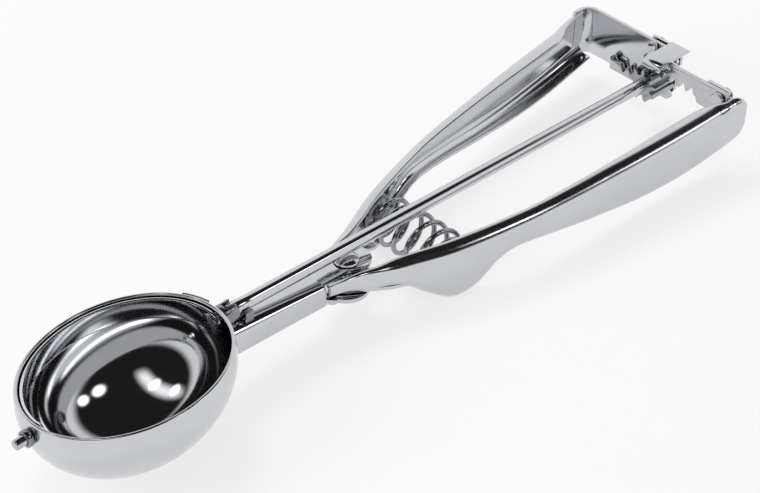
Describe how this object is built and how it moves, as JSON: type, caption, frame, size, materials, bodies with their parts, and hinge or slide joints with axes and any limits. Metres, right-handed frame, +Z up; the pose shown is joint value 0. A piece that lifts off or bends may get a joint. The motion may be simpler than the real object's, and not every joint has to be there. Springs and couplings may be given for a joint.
{
  "type": "oval portion scoop",
  "caption": "Oval portion scoop with two squeeze handles, a coil return spring and a rack drive that turns a rod and sweeps a curved scraper blade round the bowl.",
  "frame": {"origin": "centre of the bounding box's bottom face, the height of the table that the scoop lies on", "axes": "+X runs from the bowl's nose towards the handles' free ends, +Z up, +Y towards the holder's right as the bowl points away; the scoop lies tilted by 3.35 degrees, its drive rod falling towards +X"},
  "size_m": [0.2342, 0.0622, 0.0281],
  "materials": {
    "bowl": "satin outside, polished inside",
    "stud_collar": "satin",
    "rim_tab": "satin",
    "neck": "polished",
    "rod_cradle": "satin",
    "pivot_rivet": "polished",
    "hinge_bush": "satin",
    "return_spring": "polished wire",
    "left_handle": "polished",
    "upper_rack": "satin",
    "upper_rack_rivet": "satin",
    "left_spring_seat": "satin",
    "right_handle": "polished",
    "lower_rack": "satin",
    "guide_strap": "polished",
    "strap_rivet": "satin",
    "right_spring_seat": "satin",
    "drive_rod": "polished",
    "pinion": "satin",
    "scraper_blade": "polished",
    "front_stud": "polished",
    "blade_hub": "satin"
  },
  "bodies": {
    "frame": {"bowl": "bowl", "stud_collar": "stud_collar", "rim_tab": "rim_tab", "neck": "neck", "rod_cradle": "rod_cradle", "pivot_rivet": "pivot_rivet", "hinge_bush": "hinge_bush", "return_spring": "return_spring"},
    "left_arm": {"left_handle": "left_handle", "upper_rack": "upper_rack", "upper_rack_rivet": "upper_rack_rivet", "left_spring_seat": "left_spring_seat"},
    "right_arm": {"right_handle": "right_handle", "lower_rack": "lower_rack", "guide_strap": "guide_strap", "strap_rivet": "strap_rivet", "right_spring_seat": "right_spring_seat"},
    "rod": {"drive_rod": "drive_rod", "pinion": "pinion"},
    "blade": {"scraper_blade": "scraper_blade", "front_stud": "front_stud", "blade_hub": "blade_hub"}
  },
  "joints": [
    {"name": "left_swing", "type": "hinge", "parent": "frame", "child": "left_arm", "pos_m": [-0.01193, 0.00006, 0.01259], "axis": [0.0585, 0, 0.9983], "range_deg": [0, 5.95], "stiffness_Nm_per_rad": 3, "springref_deg": -8.59, "deforming": ["return_spring"]},
    {"name": "right_swing", "type": "hinge", "parent": "frame", "child": "right_arm", "pos_m": [-0.01193, 0.00006, 0.01259], "axis": [0.0585, 0, 0.9983], "range_deg": [-5.71, 0]},
    {"name": "rod_turn", "type": "hinge", "parent": "frame", "child": "rod", "pos_m": [-0.01141, 0.00006, 0.02137], "axis": [0.9983, 0, -0.0585], "range_deg": [-165.1, 0]},
    {"name": "blade_sweep", "type": "hinge", "parent": "frame", "child": "blade", "pos_m": [-0.08344, 0.00006, 0.0231], "axis": [0.9998, 0, 0.0182], "range_deg": [-165.1, 0]}
  ],
  "couplings": [
    {"joint": "right_swing", "follows": "left_swing", "ratio": -0.95876},
    {"joint": "rod_turn", "follows": "left_swing", "ratio": -27.731},
    {"joint": "blade_sweep", "follows": "left_swing", "ratio": -27.731}
  ]
}
